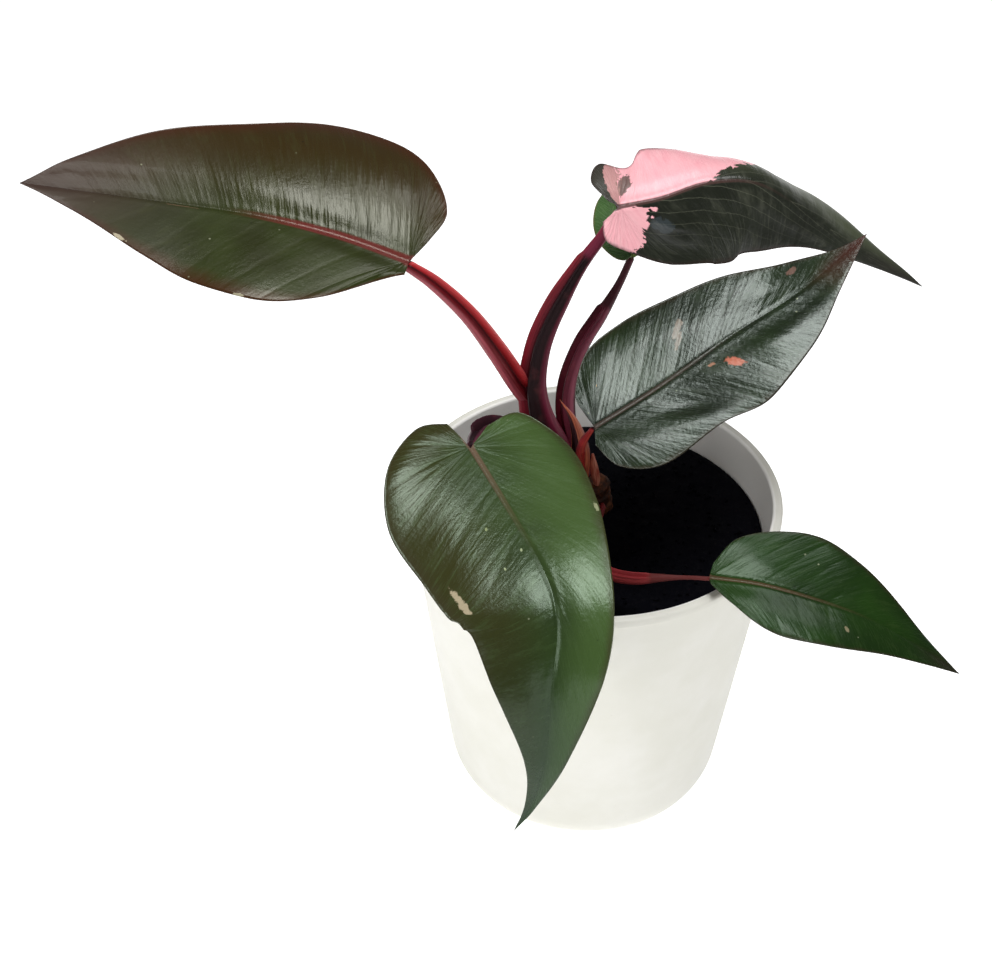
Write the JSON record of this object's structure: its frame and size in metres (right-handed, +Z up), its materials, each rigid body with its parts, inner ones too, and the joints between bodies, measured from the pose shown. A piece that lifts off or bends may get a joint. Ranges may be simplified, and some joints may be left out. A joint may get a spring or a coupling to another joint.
{
  "type": "potted philodendron",
  "caption": "Young variegated philodendron with six leaves on red petioles, in a plain off-white round tapered pot.",
  "frame": {"origin": "middle of the pot's base, on the surface that it stands on", "axes": "+Z up along the pot's axis, +X towards the two leaves on the right of the plant's best side, which faces -Y"},
  "size_m": [0.3435, 0.2008, 0.283],
  "materials": {
    "pot_ceramic": "satin off-white",
    "soil": "damp near-black potting mix",
    "stem": "brown, ringed by old leaf scars",
    "root": "matt pale brown",
    "petiole_maroon": "smooth, glossy dark maroon",
    "petiole_red": "smooth, glossy red",
    "cataphyll": "dry orange-red",
    "leaf_dark": "glossy dark olive with red margin",
    "leaf_pink": "glossy, half pink and half dark green",
    "leaf_green": "glossy green with pale specks"
  },
  "bodies": {
    "root": {"pot": "pot_ceramic", "potting_soil": "soil", "main_stem": "stem", "root_1": "root", "root_2": "root", "root_3": "root", "root_4": "root", "cataphyll": "cataphyll", "petiole_left": "petiole_red", "petiole_right_high": "petiole_maroon", "petiole_back": "petiole_maroon", "petiole_right": "petiole_red", "petiole_front": "petiole_maroon", "petiole_right_low": "petiole_red", "leaf_left": "leaf_dark", "leaf_right_high": "leaf_pink", "leaf_back": "leaf_green", "leaf_right": "leaf_green", "leaf_front": "leaf_green", "leaf_right_low": "leaf_green"}
  },
  "joints": []
}
